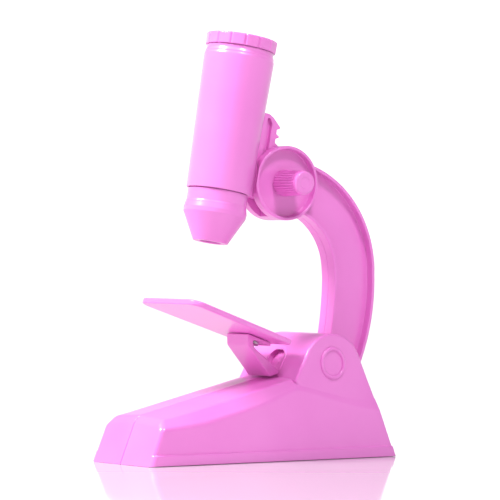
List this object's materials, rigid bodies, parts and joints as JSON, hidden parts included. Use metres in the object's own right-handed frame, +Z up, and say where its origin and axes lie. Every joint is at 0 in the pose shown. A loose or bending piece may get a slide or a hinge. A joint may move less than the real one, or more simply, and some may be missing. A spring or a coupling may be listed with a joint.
{
  "type": "toy microscope",
  "caption": "Child's toy microscope in glossy plastic: a wedge base with a tilting curved arm, a fixed stage and a tube racked up and down by side knobs.",
  "frame": {"origin": "on the table under the middle of the object's bounding box, so z = 0 is the base's underside", "axes": "+Z up, -Y towards the toe of the base and the low front, +X to the right-hand knob; the seam of the two-part mouldings lies in x = 0"},
  "size_m": [0.0422, 0.1137, 0.1622],
  "materials": {
    "pink_plastic": "glossy moulded plastic",
    "steel": "plain",
    "clear_lens": "clear moulded lens"
  },
  "bodies": {
    "base": {"base_right": "pink_plastic", "base_left": "pink_plastic", "base_screw_front": "steel", "base_screw_middle": "steel", "base_screw_rear": "steel", "base_screw_throat": "steel", "hinge_pin": "steel", "stage_plate": "pink_plastic", "stage_bracket": "pink_plastic", "stage_screw_left": "steel", "stage_screw_right": "steel"},
    "arm": {"arm_right": "pink_plastic", "arm_left": "pink_plastic", "arm_screw_drum_upper": "steel", "arm_screw_drum_lower": "steel", "arm_screw_foot": "steel"},
    "drive": {"focus_shaft": "steel", "pinion": "pink_plastic", "knob_right": "pink_plastic", "knob_left": "pink_plastic"},
    "tube": {"body_tube": "pink_plastic", "focus_rack": "pink_plastic", "rack_screw_lower": "steel", "rack_screw_upper": "steel", "objective_nose": "pink_plastic", "objective_lens": "clear_lens", "objective_retainer": "pink_plastic"},
    "eyepiece": {"eyepiece_ring": "pink_plastic", "eyepiece_lens": "clear_lens", "eyepiece_retainer": "pink_plastic"}
  },
  "joints": [
    {"name": "arm_tilt", "type": "hinge", "parent": "base", "child": "arm", "pos_m": [0, 0.0274, 0.0363], "axis": [-1, 0, 0], "range_deg": [-10.7, 25]},
    {"name": "tube_slide", "type": "slide", "parent": "arm", "child": "tube", "axis": [0, 0.1857, 0.9826], "range_m": [-0.012, 0.004]},
    {"name": "focus_turn", "type": "hinge", "parent": "arm", "child": "drive", "pos_m": [0, 0.01435, 0.10472], "axis": [1, 0, 0], "range_deg": [-42, 125.5]},
    {"name": "eyepiece_turn", "type": "hinge", "parent": "tube", "child": "eyepiece", "pos_m": [0, -0.00289, 0.15541], "axis": [0, 0.1857, 0.9826], "continuous": true}
  ],
  "couplings": [
    {"joint": "focus_turn", "follows": "tube_slide", "rad_per_m": -181.82}
  ]
}
